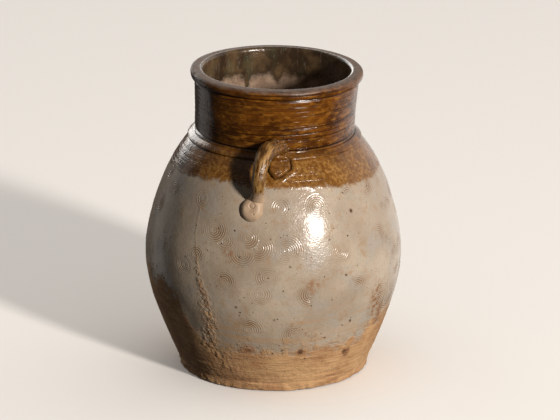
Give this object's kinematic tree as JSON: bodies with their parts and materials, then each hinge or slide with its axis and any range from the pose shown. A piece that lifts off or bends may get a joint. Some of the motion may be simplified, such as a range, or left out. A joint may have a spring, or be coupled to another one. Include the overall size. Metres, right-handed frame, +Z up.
{
  "type": "fermenting jar",
  "caption": "Open stoneware fermenting jar with a swelling body, a wide ribbed neck, a rolled lip and a small loop handle.",
  "frame": {"origin": "centre of the foot, on the surface that the jar stands on", "axes": "+Z up along the jar's axis; the handle is on the -Y side"},
  "size_m": [0.2532, 0.2532, 0.3],
  "materials": {
    "bare_clay": "unglazed buff stoneware, dry and gritty",
    "grey_glaze": "thin grey-beige ash glaze, satin",
    "brown_glaze": "glossy amber-brown glaze"
  },
  "bodies": {
    "root": {"base_slab": "bare_clay", "lower_wall_course": "bare_clay", "belly_wall_course": "grey_glaze", "upper_wall_course": "grey_glaze", "shoulder_course": "grey_glaze", "neck_cordon": "brown_glaze", "neck_collar": "brown_glaze", "rim_lip": "brown_glaze", "handle_rod": "brown_glaze", "handle_upper_pad": "brown_glaze", "handle_lower_pad": "grey_glaze"}
  },
  "joints": []
}
